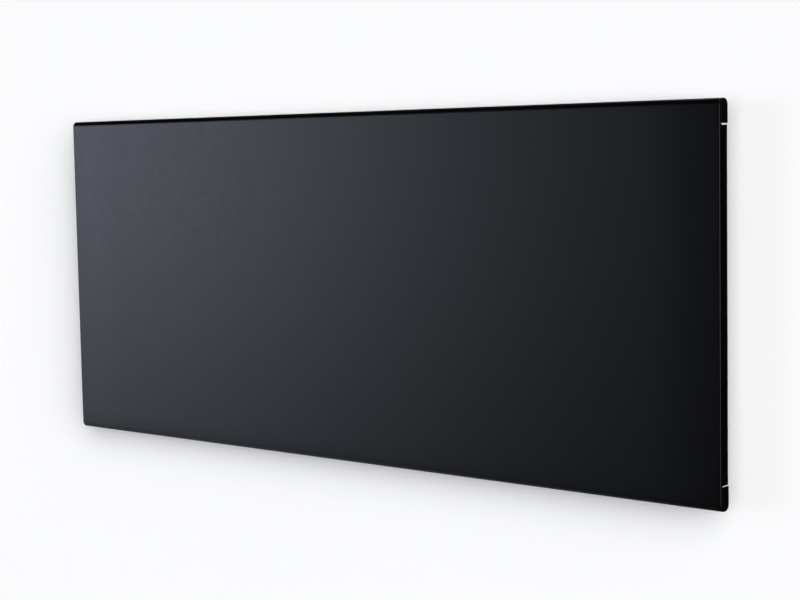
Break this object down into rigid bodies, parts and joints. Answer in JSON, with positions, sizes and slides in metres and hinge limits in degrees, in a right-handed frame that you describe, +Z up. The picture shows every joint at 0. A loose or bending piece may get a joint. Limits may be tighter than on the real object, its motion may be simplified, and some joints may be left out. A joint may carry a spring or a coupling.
{
  "type": "infrared panel heater",
  "caption": "Slim wall-hung infrared panel heater: folded black steel front with rolled edges, capped corners, back cover, terminal box and hook bracket.",
  "frame": {"origin": "on the wall plane, at the centre of the bracket's four screw slots", "axes": "+X to the right as seen from the room, along the panel's length; -Y out of the wall into the room, so +Y goes into the wall; +Z up"},
  "size_m": [1.2, 0.05, 0.5],
  "materials": {
    "front_coating": "satin black coating on steel, fine and even",
    "cap_plastic": "black moulded plastic, lightly eroded texture",
    "black_fasteners": "blackened steel screws",
    "mica": "pressed mica sheet",
    "resistance_foil": "thin resistance foil",
    "tinned_brass": "tinned brass",
    "bright_foil": "bright aluminium foil",
    "fibre_board": "pressed mineral fibre board",
    "galvanised_steel": "zinc-coated sheet steel with a faint spangle",
    "zinc_fasteners": "bright zinc plating",
    "aluminium_rivets": "plain aluminium",
    "box_plastic": "black moulded plastic",
    "silicone": "red silicone",
    "block_ceramic": "white steatite",
    "black_rubber": "black rubber",
    "gland_plastic": "black nylon",
    "cutout_steel": "nickel-plated steel",
    "live_sleeve": "brown silicone sleeve",
    "neutral_sleeve": "blue silicone sleeve",
    "earth_sleeve": "green and yellow silicone sleeve",
    "bracket_coating": "black powder coating with a fine orange-peel"
  },
  "bodies": {
    "bracket": {"wall_bracket": "bracket_coating", "wall_bumpers": "black_rubber"},
    "heater": {"front_tray": "front_coating", "corner_cap_top_left": "cap_plastic", "corner_cap_top_right": "cap_plastic", "corner_cap_bottom_left": "cap_plastic", "corner_cap_bottom_right": "cap_plastic", "cap_screws": "black_fasteners", "front_mica_sheet": "mica", "heating_track": "resistance_foil", "track_tags": "tinned_brass", "rear_mica_sheet": "mica", "reflector_foil": "bright_foil", "insulation_board": "fibre_board", "back_cover": "galvanised_steel", "weld_studs": "zinc_fasteners", "stud_washers": "zinc_fasteners", "stud_nuts": "zinc_fasteners", "hanging_rail_left": "galvanised_steel", "hanging_rail_right": "galvanised_steel", "rail_rivets": "aluminium_rivets", "terminal_box": "box_plastic", "box_lid": "box_plastic", "lid_seal": "silicone", "lid_screws": "zinc_fasteners", "box_screws": "zinc_fasteners", "terminal_block": "block_ceramic", "clamp_screws": "zinc_fasteners", "lead_grommet": "black_rubber", "earth_stud": "zinc_fasteners", "earth_nuts": "tinned_brass", "earth_tag": "tinned_brass", "gland_body": "gland_plastic", "gland_seal": "black_rubber", "gland_nut": "gland_plastic", "gland_lock_nut": "gland_plastic", "thermal_cutouts": "cutout_steel", "live_leads": "live_sleeve", "neutral_lead": "neutral_sleeve", "earth_lead": "earth_sleeve"}
  },
  "joints": [
    {"name": "lift_off", "type": "slide", "parent": "bracket", "child": "heater", "axis": [0, 0, 1], "range_m": [0, 0.011]}
  ]
}
